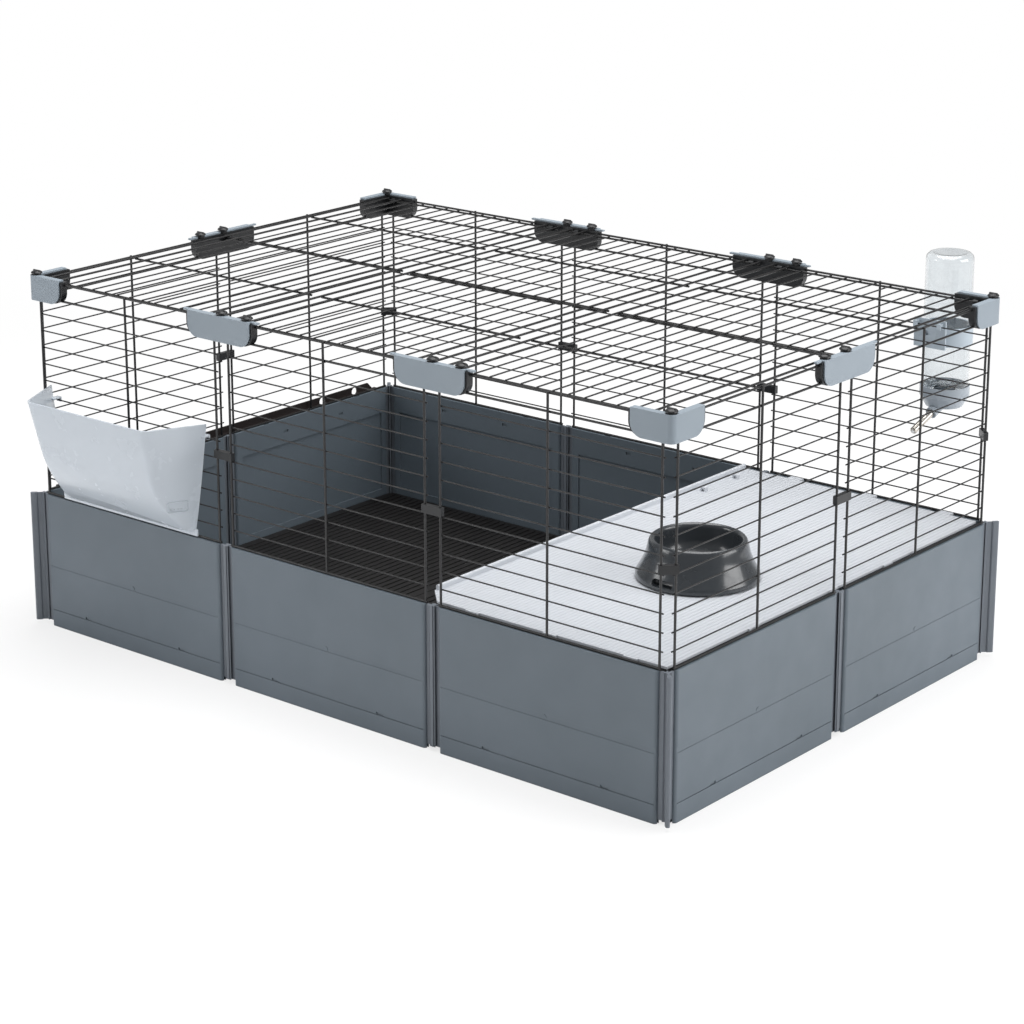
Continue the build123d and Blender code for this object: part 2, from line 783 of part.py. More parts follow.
rib_first = platform_left + lip_width + platform_rib_pitch + 24
rib_count = int((platform_right - rib_first) / platform_rib_pitch)
ribs = []
for index in range(rib_count):
    x = rib_first + index * platform_rib_pitch
    ribs.append(
        block(
            (x - platform_rib_width / 2, x + platform_rib_width / 2),
            (-platform_front + 12, platform_back - 8),
            (platform_low - platform_rib_height, platform_low + 0.2),
        )
    )
platform = platform.fuse(*ribs)
staple_x = platform_left + staple_inset
for y in staple_places:
    staple = block((staple_x - 4, staple_x + 4), (y - 3, y + 3), (platform_top - 0.5, platform_top + 6))
    staple -= block((staple_x - 2, staple_x + 2), (y - 4, y + 4), (platform_top, platform_top + 4))
    platform += staple
save(platform, "platform")

# Bowl
bowl_base = platform_top + bowl_gap
bowl_profile = [
    (0, 0),
    (bowl_foot_radius - 3, 0),
    (bowl_foot_radius, 2.5),
    (bowl_foot_radius - 0.8, 8),
    (bowl_foot_radius - 8, 14),
    (bowl_foot_radius - 10, 20),
    (bowl_shoulder_radius - 1, 36),
    (bowl_shoulder_radius, 46),
    (bowl_shoulder_radius - 3, bowl_height - 0.8),
    (bowl_mouth_radius + 3, bowl_height),
    (bowl_mouth_radius, bowl_height - 2),
    (bowl_mouth_radius - 2, 26),
    (bowl_mouth_radius - 10, bowl_floor + 3),
    (bowl_mouth_radius - 18, bowl_floor),
    (0, bowl_floor),
]
bowl = Pos(bowl_x, bowl_y, bowl_base) * turned(bowl_profile)
slot_low = bowl_base + finger_slot_level
slot_back = bowl_y - bowl_foot_radius + finger_slot[1]
bowl -= block(
    (bowl_x - finger_slot[0] / 2, bowl_x + finger_slot[0] / 2),
    (bowl_y - bowl_foot_radius - 5, slot_back),
    (slot_low, slot_low + finger_slot[2]),
)
save(bowl, "bowl")


# Hay feeder: a hopper open at the top and towards the wires
def feeder_section(z, halves, front, back, radius):
    outline = Polyline(
        (feeder_x - halves[0], -back),
        (feeder_x - halves[1], -front),
        (feeder_x + halves[1], -front),
        (feeder_x + halves[0], -back),
        close=True,
    )
    face = make_face(outline)
    front_corners = face.vertices().sort_by(Axis.Y)[:2]
    return Pos(0, 0, z) * fillet(front_corners, radius)


def inset(halves, wall):
    return (halves[0] - wall, halves[1] - wall)


hook_level = wall_levels[hook_wire_row]
feeder_top = hook_level + feeder_rim_rise
feeder_knee = base_height + feeder_knee_rise
feeder_bottom = base_height + feeder_bottom_rise
feeder_top_front = feeder_back + feeder_top_depth
feeder_knee_front = feeder_back + feeder_knee_depth
feeder_bottom_front = feeder_back + feeder_bottom_depth
outer_sections = [
    feeder_section(feeder_bottom, feeder_bottom_half, feeder_bottom_front, feeder_back, 3.0),
    feeder_section(feeder_knee, feeder_knee_half, feeder_knee_front, feeder_back, feeder_corner_radius),
    feeder_section(feeder_top, feeder_top_half, feeder_top_front, feeder_back, feeder_corner_radius),
]
inner_back = feeder_back - 4
over = 6.0
share = over / (feeder_top - feeder_knee)
over_half = tuple(t + (t - k) * share - feeder_wall for t, k in zip(feeder_top_half, feeder_knee_half))
over_front = feeder_top_front + (feeder_top_front - feeder_knee_front) * share - feeder_wall
inner_radius = feeder_corner_radius - feeder_wall
inner_bottom = feeder_bottom + feeder_wall
inner_bottom_half = inset(feeder_bottom_half, feeder_wall)
inner_bottom_front = feeder_bottom_front - feeder_wall
inner_knee_half = inset(feeder_knee_half, feeder_wall)
inner_knee_front = feeder_knee_front - feeder_wall
inner_sections = [
    feeder_section(inner_bottom, inner_bottom_half, inner_bottom_front, inner_back, 1.5),
    feeder_section(feeder_knee + 0.8, inner_knee_half, inner_knee_front, inner_back, inner_radius),
    feeder_section(feeder_top + over, over_half, over_front, inner_back, inner_radius),
]
hopper = loft(outer_sections[0:2], ruled=True) + loft(outer_sections[1:3], ruled=True)
hollow = loft(inner_sections[0:2], ruled=True) + loft(inner_sections[1:3], ruled=True)
feeder = hopper - hollow
strip_low = base_height + feeder_strip_gap
feeder += block(
    (feeder_x - feeder_strip_half, feeder_x + feeder_strip_half),
    (-feeder_back - feeder_strip_depth, -feeder_back),
    (strip_low, strip_low + feeder_strip_height),
)
hook_y = -half_y + thin_offset
hook_bore = thin_wire_radius + hook_clearance
hook_share = (hook_level - feeder_knee) / (feeder_top - feeder_knee)
hook_end = feeder_knee_half[0] + (feeder_top_half[0] - feeder_knee_half[0]) * hook_share
for side in (-1, 1):
    ends = sorted((feeder_x + side * (hook_end - hook_width), feeder_x + side * (hook_end - 0.6)))
    feeder += block(
        ends,
        (-feeder_back - 4, hook_y + hook_bore + hook_wall),
        (hook_level - hook_drop, hook_level + hook_rise),
    )
    wide = (ends[0] - 1, ends[1] + 1)
    feeder -= rod_x(wide, hook_y, hook_level, hook_bore)
    feeder -= block(wide, (hook_y - hook_bore, hook_y + hook_bore), (hook_level - hook_drop - 1, hook_level))
save(feeder, "hay_feeder")

# Levels of the bottle's bracket, from the wire that carries it, and of the bottle in its collar
plate_hook_level = wall_levels[plate_hook_row]
plate_bottom = plate_hook_level - plate_drop
plate_top = plate_hook_level + plate_rise
plate_left = bottle_x - plate_reach[0]
plate_right = bottle_x + plate_reach[1]
collar_bottom = plate_bottom + collar_lift
collar_top = collar_bottom + collar_height
collar_inner = bottle_radius + collar_fit
collar_radius = collar_inner + collar_wall

# Bottle: upside down, neck in its cap
bottle_bottom = collar_bottom - bottle_below_collar
bottle_top = bottle_bottom + bottle_height
neck_bottom = bottle_bottom - neck_length
bottle_inner = bottle_radius - bottle_wall
neck_inner = neck_radius - neck_wall
body = rod_z((bottle_bottom, bottle_top), 0, 0, bottle_radius)
body = fillet(body.edges().filter_by(GeomType.CIRCLE), bottle_edge_radius)
body += rod_z((neck_bottom, bottle_bottom + 1), 0, 0, neck_radius)
cavity = rod_z((bottle_bottom + bottle_wall, bottle_top - bottle_wall), 0, 0, bottle_inner)
cavity = fillet(cavity.edges().filter_by(GeomType.CIRCLE), bottle_edge_radius - bottle_wall)
cavity += rod_z((neck_bottom - 1, bottle_bottom + bottle_wall + 1), 0, 0, neck_inner)
save(Pos(bottle_x, bottle_y, 0) * (body - cavity), "bottle")

# Bottle cap with the boss that carries the spout
bottle_cap_top = bottle_bottom + bottle_cap_cover
bottle_cap_bottom = bottle_cap_top - bottle_cap_height
cap_origin = (bottle_x, bottle_y, bottle_cap_bottom)
spout_root = [place + offset for place, offset in zip(cap_origin, spout_root_offset)]
spout_tip = [place + offset for place, offset in zip(cap_origin, spout_tip_offset)]
spout_vector = [t - r for t, r in zip(spout_tip, spout_root)]
spout_length = math.sqrt(sum(v * v for v in spout_vector))
spout_plane = Plane(origin=tuple(spout_root), z_dir=tuple(spout_vector))
cup_radius = bottle_radius + bottle_fit
bottle_cap_radius = cup_radius + bottle_cap_wall
cap_profile = [
    (0, bottle_cap_bottom),
    (bottle_cap_radius - bottle_cap_taper, bottle_cap_bottom),
    (bottle_cap_radius, bottle_cap_bottom + bottle_cap_taper_height),
    (bottle_cap_radius, bottle_cap_top),
    (cup_radius, bottle_cap_top),
    (cup_radius, bottle_bottom - bottle_fit),
    (neck_radius + bottle_fit, bottle_bottom - bottle_fit),
    (neck_radius + bottle_fit, neck_bottom - bottle_fit),
    (0, neck_bottom - bottle_fit),
]
bottle_cap = Pos(bottle_x, bottle_y, 0) * turned(cap_profile)
boss = spout_plane * Pos(0, 0, spout_boss_length / 2) * Cylinder(spout_boss_radius, spout_boss_length)
bottle_cap += boss
tube_bore = Cylinder(spout_radius + spout_fit, spout_boss_length)
bottle_cap -= spout_plane * Pos(0, 0, spout_boss_length / 2 + 4) * tube_bore
bottle_cap -= spout_plane * Pos(0, 0, 2) * Cylinder(drip_radius, 6)
bottle_cap -= rod_z((spout_root[2], neck_bottom), spout_root[0], spout_root[1], drip_radius)
save(bottle_cap, "bottle_cap")

# Metal spout and the ball that closes it
ball_radius = spout_bore - ball_fit
spout_profile = [
    (spout_bore, spout_start),
    (spout_radius, spout_start),
    (spout_radius, spout_length - 1.5),
    (spout_radius - 1.2, spout_length),
    (spout_mouth, spout_length),
    (spout_bore, spout_length - spout_lip),
]
save(spout_plane * turned(spout_profile), "spout")
seat_angle = math.atan2(spout_bore - spout_mouth, spout_lip)
seat_shift = (spout_bore * math.cos(seat_angle) - ball_radius) / math.sin(seat_angle)
ball_place = spout_length - spout_lip + seat_shift - ball_seat_gap
save(spout_plane * Pos(0, 0, ball_place) * Sphere(ball_radius), "spout_ball")

# Bracket: a collar round the bottle on a plate hooked over the back wires
collar_bore = rod_z((collar_bottom - 1, collar_top + 1), 0, 0, collar_inner)
bracket = Pos(bottle_x, bottle_y, 0) * (rod_z((collar_bottom, collar_top), 0, 0, collar_radius) - collar_bore)
plate_back = plate_face + plate_thickness
bracket += block((plate_left, plate_right), (plate_face, plate_back), (plate_bottom, plate_top))
neck_y = (plate_face + 1, bottle_y - collar_inner + 4)
bracket += block((bottle_x - neck_half, bottle_x + neck_half), neck_y, (collar_bottom, collar_top))
bracket -= rod_z((plate_bottom - 1, plate_top + 1), bottle_x, bottle_y, collar_inner)
plate_hook_y = half_y - thin_offset
hook_face = plate_hook_y - hook_bore
hook_low = plate_hook_level - hook_drop
for x in (plate_left + plate_hook_width, plate_right - plate_hook_width):
    width = (x - plate_hook_width / 2, x + plate_hook_width / 2)
    bracket += block(width, (hook_face - hook_wall, plate_face + 1), (hook_low, plate_hook_level + hook_rise))
    wide = (width[0] - 1, width[1] + 1)
    bracket -= rod_x(wide, plate_hook_y, plate_hook_level, hook_bore)
    bracket -= block(wide, (hook_face, plate_hook_y + hook_bore), (hook_low - 1, plate_hook_level))
hole_x = plate_left + plate_hole_place[0]
hole_z = plate_bottom + plate_hole_place[1]
bracket -= rod_y((plate_face - 1, plate_back + 1), hole_x, hole_z, plate_hole_radius)
save(bracket, "bottle_bracket")
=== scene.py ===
import json
import math

import bpy
import bmesh
from mathutils import Matrix, Vector

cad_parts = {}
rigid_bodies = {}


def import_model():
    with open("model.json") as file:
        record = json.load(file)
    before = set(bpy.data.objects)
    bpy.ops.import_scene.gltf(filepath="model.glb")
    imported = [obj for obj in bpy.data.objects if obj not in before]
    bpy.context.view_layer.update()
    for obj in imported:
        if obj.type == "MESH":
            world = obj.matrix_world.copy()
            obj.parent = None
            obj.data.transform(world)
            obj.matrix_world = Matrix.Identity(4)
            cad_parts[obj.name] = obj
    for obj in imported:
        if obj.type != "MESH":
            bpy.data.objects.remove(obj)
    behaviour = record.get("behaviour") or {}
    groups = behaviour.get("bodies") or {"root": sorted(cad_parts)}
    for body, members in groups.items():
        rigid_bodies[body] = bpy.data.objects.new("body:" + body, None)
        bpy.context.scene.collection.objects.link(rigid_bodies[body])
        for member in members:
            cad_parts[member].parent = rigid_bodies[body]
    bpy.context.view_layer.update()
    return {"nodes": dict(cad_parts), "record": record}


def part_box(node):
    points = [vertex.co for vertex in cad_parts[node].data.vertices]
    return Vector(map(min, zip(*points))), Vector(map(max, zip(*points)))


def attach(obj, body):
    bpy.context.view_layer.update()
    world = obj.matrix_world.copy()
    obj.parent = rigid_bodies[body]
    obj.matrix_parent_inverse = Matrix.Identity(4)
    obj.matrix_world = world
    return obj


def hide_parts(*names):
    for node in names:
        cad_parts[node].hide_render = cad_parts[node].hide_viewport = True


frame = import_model()
print("frame loaded")


# camera, floor and lights
camera = {
    "place": (2.29757, -2.773949, 1.360778),
    "pitch": -15.832,
    "yaw": 39.526,
    "lens": 98.417,
    "sensorWidth": 36,
    "farEnd": 100,
    "frameDrop": -0.109,
}
studio = {
    "floorSize": 60.0,
    "floorLevel": -0.0005,
    "floorRoughness": 0.9,
    "floorColour": (0.93, 0.93, 0.935),
    "worldColour": (1.0, 1.0, 1.0),
    "worldStrength": 0.3,
    "shadowRadius": 0.95,
    "whiteRadius": 2.4,
    "nearShare": 0.72,
}
lamps = {
    "topSoftbox": {"place": (0.2, 0.1, 2.9), "target": (0, 0, 0.2), "size": (3.2, 2.6), "power": 112},
    "rightSoftbox": {"place": (3.3, 1.2, 1.5), "target": (0, 0, 0.25), "size": (2.4, 1.8), "power": 66},
    "frontSoftbox": {"place": (-2.1, -2.4, 1.2), "target": (-0.4, 0, 0.25), "size": (1.4, 1.2), "power": 24},
    "leftSoftbox": {"place": (-3.2, 1.6, 1.6), "target": (0, 0, 0.25), "size": (2.0, 1.6), "power": 4},
}


def deselectAll():
    if bpy.context.mode != "OBJECT":
        bpy.ops.object.mode_set(mode="OBJECT")
    bpy.ops.object.select_all(action="DESELECT")


def addCamera():
    deselectAll()
    turn = (math.radians(90 + camera["pitch"]), 0, math.radians(camera["yaw"]))
    bpy.ops.object.camera_add(location=camera["place"], rotation=turn)
    cam = bpy.context.object
    cam.data.lens = camera["lens"]
    cam.data.sensor_width = camera["sensorWidth"]
    cam.data.shift_y = camera["frameDrop"]
    cam.data.clip_end = camera["farEnd"]
    bpy.context.scene.camera = cam


def addAreaLight(name, place, target, size, power):
    deselectAll()
    bpy.ops.object.light_add(type="AREA", location=place)
    lamp = bpy.context.object
    lamp.name = name
    lamp.data.shape = "RECTANGLE"
    lamp.data.size = size[0]
    lamp.data.size_y = size[1]
    lamp.data.energy = power
    aim = Vector(target) - Vector(place)
    lamp.rotation_euler = aim.to_track_quat("-Z", "Y").to_euler()


def newMaterial(name):
    material = bpy.data.materials.new(name)
    material.use_nodes = True
    nodes = material.node_tree.nodes
    shader = nodes["Principled BSDF"]
    return material, nodes, material.node_tree.links, shader


def spread(nodes, links, value, low, high, outLow, outHigh):
    ranger = nodes.new("ShaderNodeMapRange")
    ranger.inputs["From Min"].default_value = low
    ranger.inputs["From Max"].default_value = high
    ranger.inputs["To Min"].default_value = outLow
    ranger.inputs["To Max"].default_value = outHigh
    links.new(value, ranger.inputs["Value"])
    return ranger.outputs["Result"]


def seenDirectly(nodes, links):
    # 1 for camera rays and for rays that pass through clear plastic
    path = nodes.new("ShaderNodeLightPath")
    most = nodes.new("ShaderNodeMath")
    most.operation = "MAXIMUM"
    links.new(path.outputs["Is Camera Ray"], most.inputs[0])
    links.new(path.outputs["Is Transmission Ray"], most.inputs[1])
    return most.outputs[0]


def addStudio():
    world = bpy.context.scene.world or bpy.data.worlds.new("studioWorld")
    bpy.context.scene.world = world
    world.use_nodes = True
    nodes = world.node_tree.nodes
    links = world.node_tree.links
    nodes.clear()
    output = nodes.new("ShaderNodeOutputWorld")
    lit = nodes.new("ShaderNodeBackground")
    lit.inputs["Color"].default_value = (*studio["worldColour"], 1)
    lit.inputs["Strength"].default_value = studio["worldStrength"]
    seen = nodes.new("ShaderNodeBackground")
    seen.inputs["Color"].default_value = (1, 1, 1, 1)
    seen.inputs["Strength"].default_value = 1.0
    mix = nodes.new("ShaderNodeMixShader")
    links.new(seenDirectly(nodes, links), mix.inputs["Fac"])
    links.new(lit.outputs[0], mix.inputs[1])
    links.new(seen.outputs[0], mix.inputs[2])
    links.new(mix.outputs[0], output.inputs["Surface"])

    deselectAll()
    bpy.ops.mesh.primitive_plane_add(size=studio["floorSize"], location=(0, 0, studio["floorLevel"]))
    floor = bpy.context.object
    floor.name = "studioFloor"
    material, nodes, links, shader = newMaterial("studioFloorPaper")
    shader.inputs["Base Color"].default_value = (*studio["floorColour"], 1)
    shader.inputs["Roughness"].default_value = studio["floorRoughness"]
    shader.inputs["Specular IOR Level"].default_value = 0.0
    glow = nodes.new("ShaderNodeEmission")
    glow.inputs["Color"].default_value = (1, 1, 1, 1)
    glow.inputs["Strength"].default_value = 1.0
    mix = nodes.new("ShaderNodeMixShader")
    place = nodes.new("ShaderNodeTexCoord")
    away = nodes.new("ShaderNodeVectorMath")
    away.operation = "LENGTH"
    links.new(place.outputs["Object"], away.inputs[0])
    reach = (studio["shadowRadius"], studio["whiteRadius"])
    whiteness = spread(nodes, links, away.outputs["Value"], *reach, studio["nearShare"], 1)
    share = nodes.new("ShaderNodeMath")
    share.operation = "MULTIPLY"
    links.new(seenDirectly(nodes, links), share.inputs[0])
    links.new(whiteness, share.inputs[1])
    links.new(share.outputs[0], mix.inputs["Fac"])
    links.new(shader.outputs[0], mix.inputs[1])
    links.new(glow.outputs[0], mix.inputs[2])
    links.new(mix.outputs[0], nodes["Material Output"].inputs["Surface"])
    floor.data.materials.append(material)

    for name, lamp in lamps.items():
        addAreaLight(name, **lamp)


# finishes
def linear(red, green, blue):
    # screen colour, 0 to 255, to the shader's linear colour
    out = []
    for value in (red, green, blue):
        share = value / 255
        out.append(share / 12.92 if share <= 0.04045 else ((share + 0.055) / 1.055) ** 2.4)
    return (*out, 1)


def objectPoint(nodes, links, scale=(1, 1, 1)):
    place = nodes.new("ShaderNodeTexCoord")
    mapping = nodes.new("ShaderNodeMapping")
    mapping.inputs["Scale"].default_value = scale
    links.new(place.outputs["Object"], mapping.inputs["Vector"])
    return mapping.outputs["Vector"]


def noise(nodes, links, vector, scale, detail=3.0, rough=0.55):
    tex = nodes.new("ShaderNodeTexNoise")
    tex.inputs["Scale"].default_value = scale
    tex.inputs["Detail"].default_value = detail
    tex.inputs["Roughness"].default_value = rough
    links.new(vector, tex.inputs["Vector"])
    return tex.outputs["Fac"]


def blendColours(nodes, links, share, first, second):
    mix = nodes.new("ShaderNodeMix")
    mix.data_type = "RGBA"
    for socket, colour in ((mix.inputs["A"], first), (mix.inputs["B"], second)):
        if hasattr(colour, "is_output"):
            links.new(colour, socket)
        else:
            socket.default_value = colour
    links.new(share, mix.inputs["Factor"])
    return mix.outputs["Result"]


def bumpFrom(nodes, links, height, distance, strength=1.0, below=None):
    bump = nodes.new("ShaderNodeBump")
    bump.inputs["Strength"].default_value = strength
    bump.inputs["Distance"].default_value = distance
    links.new(height, bump.inputs["Height"])
    if below is not None:
        links.new(below, bump.inputs["Normal"])
    return bump.outputs["Normal"]


def nearness(nodes, reach, inside):
    # dark in the grooves, or with inside set, along the outer edges
    shade = nodes.new("ShaderNodeAmbientOcclusion")
    shade.samples = 4
    shade.inside = inside
    shade.inputs["Distance"].default_value = reach
    return shade.outputs["AO"]


plasticLook = {
    "driftScale": 3.0,
    "scuffStretch": (14, 14, 90),
    "scuffScale": 4.0,
    # the edge reach, groove reach and groove colour below drive the painted edge highlight and painted groove
    # shade
    "edgeHighlightReach": 0.0012,
    "grooveShadeReach": 0.006,
    "grooveShadeColour": (16, 17, 19),
    "glossScale": 24,
    "waveScale": 9,
    "waveDepth": 0.0006,
    "waveStrength": 0.35,
    "reflection": 0.45,
    "coatRoughness": 0.12,
}


def moulded(
    name, colour, shade, rough=(0.38, 0.5), grain=0.00006, grainScale=900, coat=0.0, edged=False, scuffed=0.16
):
    # moulded plastic: faint colour drift, fine spark-eroded grain, handling scuffs, and with the edge option
    # a painted highlight on the outer edges and painted shade in the grooves
    look = plasticLook
    material, nodes, links, shader = newMaterial(name)
    point = objectPoint(nodes, links)
    drift = spread(nodes, links, noise(nodes, links, point, look["driftScale"], 4), 0.3, 0.7, 0, 1)
    body = blendColours(nodes, links, drift, colour, shade)
    fine = noise(nodes, links, point, grainScale, 2)
    scuffPoint = objectPoint(nodes, links, look["scuffStretch"])
    patches = noise(nodes, links, scuffPoint, look["scuffScale"], 6, 0.7)
    scuff = spread(nodes, links, patches, 0.64, 0.8, 0, scuffed)
    pale = tuple(min(1, channel * 1.35 + 0.02) for channel in shade[:3]) + (1,)
    body = blendColours(nodes, links, scuff, body, pale)
    if edged:
        # painted highlight: outer edges lightened towards the pale tone by an occlusion pass
        paintedEdgeHighlight = spread(nodes, links, nearness(nodes, look["edgeHighlightReach"], True), 0.35, 0.8, 0.55, 0)
        body = blendColours(nodes, links, paintedEdgeHighlight, body, pale)
        # painted shade: grooves, slots and gaps between parts darkened towards near black by an occlusion
        # pass
        deep = spread(nodes, links, nearness(nodes, look["grooveShadeReach"], False), 0.1, 0.6, 0.9, 0)
        body = blendColours(nodes, links, deep, body, linear(*look["grooveShadeColour"]))
    links.new(body, shader.inputs["Base Color"])
    wander = spread(nodes, links, noise(nodes, links, point, look["glossScale"], 5), 0.3, 0.7, *rough)
    links.new(wander, shader.inputs["Roughness"])
    normal = bumpFrom(nodes, links, fine, grain)
    wave = noise(nodes, links, point, look["waveScale"], 2)
    normal = bumpFrom(nodes, links, wave, look["waveDepth"], look["waveStrength"], normal)
    links.new(normal, shader.inputs["Normal"])
    shader.inputs["Specular IOR Level"].default_value = look["reflection"]
    shader.inputs["Coat Weight"].default_value = coat
    shader.inputs["Coat Roughness"].default_value = look["coatRoughness"]
    return material


ribLook = {"pitch": 0.0065, "depth": 0.0005, "shadow": 0.35, "shadowColour": (168, 174, 182)}


def ribbed(material):
    # fine ribs along Y on the faces that look up
    nodes = material.node_tree.nodes
    links = material.node_tree.links
    shader = nodes["Principled BSDF"]
    place = nodes.new("ShaderNodeTexCoord")
    across = nodes.new("ShaderNodeSeparateXYZ")
    links.new(place.outputs["Object"], across.inputs[0])
    turns = nodes.new("ShaderNodeMath")
    turns.operation = "MULTIPLY"
    turns.inputs[1].default_value = 2 * math.pi / ribLook["pitch"]
    links.new(across.outputs["X"], turns.inputs[0])
    wave = nodes.new("ShaderNodeMath")
    wave.operation = "SINE"
    links.new(turns.outputs[0], wave.inputs[0])
    ridge = spread(nodes, links, wave.outputs[0], 0.2, 0.95, 0, 1)
    facing = nodes.new("ShaderNodeSeparateXYZ")
    links.new(place.outputs["Normal"], facing.inputs[0])
    onTop = spread(nodes, links, facing.outputs["Z"], 0.8, 0.95, 0, 1)
    height = nodes.new("ShaderNodeMath")
    height.operation = "MULTIPLY"
    links.new(ridge, height.inputs[0])
    links.new(onTop, height.inputs[1])
    below = shader.inputs["Normal"].links[0].from_socket
    raised = bumpFrom(nodes, links, height.outputs[0], ribLook["depth"], 1.0, below)
    links.new(raised, shader.inputs["Normal"])
    plain = shader.inputs["Base Color"].links[0].from_socket
    darker = spread(nodes, links, height.outputs[0], 0, 1, 0, ribLook["shadow"])
    shaded = blendColours(nodes, links, darker, plain, linear(*ribLook["shadowColour"]))
    links.new(shaded, shader.inputs["Base Color"])
    return material


def coatedWire(name):
    # dark powder-coated wire, satin, a little metal showing through the sheen
    material, nodes, links, shader = newMaterial(name)
    point = objectPoint(nodes, links)
    specks = spread(nodes, links, noise(nodes, links, point, 260, 4, 0.65), 0.35, 0.68, 0, 1)
    body = blendColours(nodes, links, specks, linear(20, 20, 21), linear(34, 33, 34))
    links.new(body, shader.inputs["Base Color"])
    rough = spread(nodes, links, noise(nodes, links, point, 90, 3), 0.3, 0.7, 0.3, 0.42)
    links.new(rough, shader.inputs["Roughness"])
    links.new(bumpFrom(nodes, links, noise(nodes, links, point, 1400, 2), 0.00005), shader.inputs["Normal"])
    shader.inputs["Metallic"].default_value = 0.35
    shader.inputs["Specular IOR Level"].default_value = 0.8
    return material


def steel(name, colour, rough):
    material, nodes, links, shader = newMaterial(name)
    point = objectPoint(nodes, links, (1, 1, 60))
    streak = spread(nodes, links, noise(nodes, links, point, 30, 5), 0.3, 0.7, rough * 0.7, rough * 1.4)
    links.new(streak, shader.inputs["Roughness"])
    tint = spread(nodes, links, noise(nodes, links, point, 12, 3), 0.3, 0.7, 0, 1)
    darker = tuple(channel * 0.86 for channel in colour[:3]) + (1,)
    links.new(blendColours(nodes, links, tint, colour, darker), shader.inputs["Base Color"])
    links.new(bumpFrom(nodes, links, noise(nodes, links, point, 300, 3), 0.00003), shader.inputs["Normal"])
    shader.inputs["Metallic"].default_value = 1.0
    return material


def clearPlastic(name):
    material, nodes, links, shader = newMaterial(name)
    point = objectPoint(nodes, links)
    haze = spread(nodes, links, noise(nodes, links, point, 18, 4), 0.35, 0.7, 0.03, 0.1)
    links.new(haze, shader.inputs["Roughness"])
    tint = spread(nodes, links, noise(nodes, links, point, 6, 3), 0.3, 0.7, 0, 1)
    body = blendColours(nodes, links, tint, (0.9, 0.92, 0.93, 1), (0.84, 0.87, 0.89, 1))
    links.new(body, shader.inputs["Base Color"])
    links.new(bumpFrom(nodes, links, noise(nodes, links, point, 30, 3), 0.0003, 0.4), shader.inputs["Normal"])
    shader.inputs["Transmission Weight"].default_value = 1.0
    shader.inputs["IOR"].default_value = 1.42
    return material


gloss = {"rough": (0.2, 0.3), "grain": 0.00002, "grainScale": 500, "scuffed": 0.012}
finishes = {
    "base_plastic": moulded("basePanelPlastic", linear(101, 111, 120), linear(91, 101, 109), edged=True),
    "connector_plastic": moulded("connectorPlastic", linear(108, 114, 121), linear(98, 104, 112), edged=True),
    "floor_plastic": moulded("floorTilePlastic", linear(15, 12, 12), linear(11, 9, 9), (0.5, 0.65)),
    "wire": coatedWire("coatedWire"),
    "cover_plastic": moulded("coverPlastic", linear(142, 152, 161), linear(132, 143, 152), edged=True),
    "clip_plastic": moulded("clipPlastic", linear(24, 25, 27), linear(31, 32, 34), (0.3, 0.42), edged=True),
    "rail_plastic": moulded("railPlastic", linear(40, 33, 32), linear(32, 26, 25)),
    "platform_plastic": ribbed(moulded("platformPlastic", linear(203, 206, 211), linear(196, 200, 206))),
    "bowl_plastic": moulded("bowlPlastic", linear(54, 58, 62), linear(46, 50, 54), coat=0.6, **gloss),
    "feeder_plastic": moulded(
        "feederPlastic", linear(196, 203, 211), linear(186, 194, 202), coat=0.3, **gloss
    ),
    "clear_plastic": clearPlastic("bottleClear"),
    "bottle_cap_plastic": moulded("bottleCapPlastic", linear(158, 166, 174), linear(148, 157, 166), **gloss),
    "spout_metal": steel("spoutSteel", linear(196, 190, 182), 0.22),
    "ball_metal": steel("ballSteel", linear(220, 220, 218), 0.1),
    "bracket_plastic": moulded("bracketPlastic", linear(176, 187, 196), linear(166, 178, 188), **gloss),
}


def dressNodes():
    for row in frame["record"]["subparts"]:
        node = bpy.data.objects[row["node"]]
        finish = finishes[row["material_slot"]]
        if not node.material_slots:
            node.data.materials.append(finish)
        for materialSlot in node.material_slots:
            materialSlot.material = finish


# helpers for the finer pieces
def makeActive(piece):
    deselectAll()
    piece.select_set(True)
    bpy.context.view_layer.objects.active = piece


def startEdit(action="SELECT"):
    bpy.ops.object.mode_set(mode="EDIT")
    bpy.ops.mesh.select_all(action=action)


def endEdit():
    bpy.ops.object.mode_set(mode="OBJECT")


def startBox(name, low, high):
    # a box between two corners, its place in its mesh
    deselectAll()
    bpy.ops.mesh.primitive_cube_add(size=1)
    piece = bpy.context.object
    piece.name = name
    startEdit()
    bpy.ops.transform.resize(value=[end - start for start, end in zip(low, high)])
    bpy.ops.transform.translate(value=[(start + end) / 2 for start, end in zip(low, high)])
    endEdit()
    return piece


def startMesh(name, points, faces, edges=()):
    mesh = bpy.data.meshes.new(name)
    mesh.from_pydata(points, edges, faces)
    piece = bpy.data.objects.new(name, mesh)
    bpy.context.scene.collection.objects.link(piece)
    return piece


def applyBevel(piece, width, segments=3, angle=30):
    makeActive(piece)
    edge = piece.modifiers.new("edgeRounding", "BEVEL")
    edge.width = width
    edge.segments = segments
    edge.limit_method = "ANGLE"
    edge.angle_limit = math.radians(angle)
    bpy.ops.object.modifier_apply(modifier=edge.name)


def applySolid(piece, wall):
    # gives a sheet its wall, inward from the sheet
    makeActive(piece)
    shell = piece.modifiers.new("wall", "SOLIDIFY")
    shell.thickness = wall
    shell.offset = -1
    shell.use_even_offset = True
    bpy.ops.object.modifier_apply(modifier=shell.name)


def cutAway(piece, cutter):
    makeActive(piece)
    cut = piece.modifiers.new("cut", "BOOLEAN")
    cut.operation = "DIFFERENCE"
    cut.solver = "EXACT"
    cut.object = cutter
    bpy.ops.object.modifier_apply(modifier=cut.name)
    bpy.data.objects.remove(cutter)


def joinInto(piece, others):
    makeActive(piece)
    for other in others:
        other.select_set(True)
    bpy.ops.object.join()
    return piece


